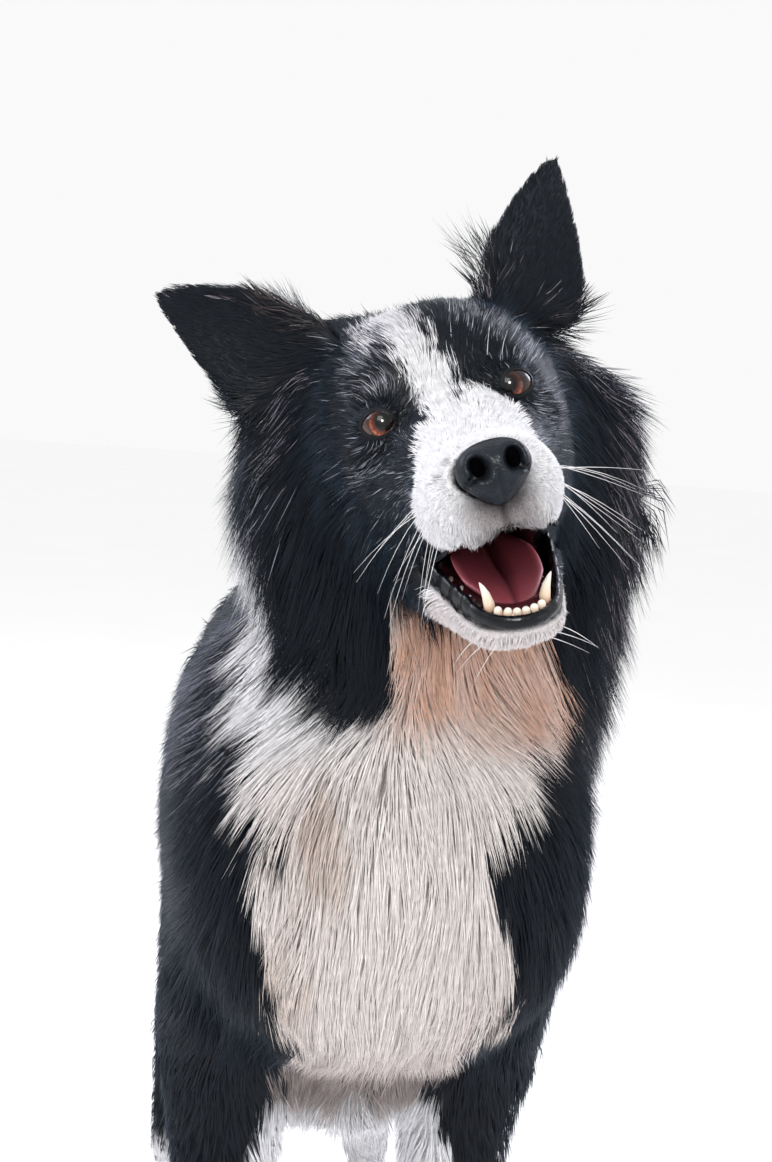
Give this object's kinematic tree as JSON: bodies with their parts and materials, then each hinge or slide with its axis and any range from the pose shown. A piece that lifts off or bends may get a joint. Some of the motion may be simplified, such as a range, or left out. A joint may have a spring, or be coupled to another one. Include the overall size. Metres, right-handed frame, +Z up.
{
  "type": "dog",
  "caption": "Life-size standing long-coated black-and-white sheepdog with a tilted head, pricked ears, open mouth, full ruff and hanging plumed tail.",
  "frame": {"origin": "on the floor, under the middle of the outline's box", "axes": "+Z up, the dog faces -Y, +X is the dog's left side"},
  "size_m": [0.289, 0.9082, 0.8065],
  "materials": {
    "coat_black": "long soft blue-black fur",
    "coat_white": "long soft white to cream fur",
    "skin": "skin under the coat, with the coat's markings",
    "nose": "moist pebbled black leather",
    "mouth": "wet tongue and gums",
    "tooth": "ivory enamel",
    "eye": "glossy amber-brown eye",
    "claw": "dark horn",
    "whisker": "stiff white bristle"
  },
  "bodies": {
    "root": {"head": "coat_black", "eye_right": "eye", "eye_left": "eye", "nose": "nose", "ear_left": "coat_black", "ear_right": "coat_black", "lower_jaw": "coat_white", "tongue": "mouth", "neck": "coat_black", "chest": "coat_white", "barrel": "coat_black", "rump": "coat_black", "tail_root": "coat_black", "tail_plume": "coat_black", "shoulder_left": "coat_black", "forearm_left": "coat_black", "forepaw_left": "coat_white", "thigh_left": "coat_black", "shank_left": "coat_black", "hind_foot_left": "coat_white", "shoulder_right": "coat_black", "forearm_right": "coat_black", "forepaw_right": "coat_white", "thigh_right": "coat_black", "shank_right": "coat_black", "hind_foot_right": "coat_white"}
  },
  "joints": []
}
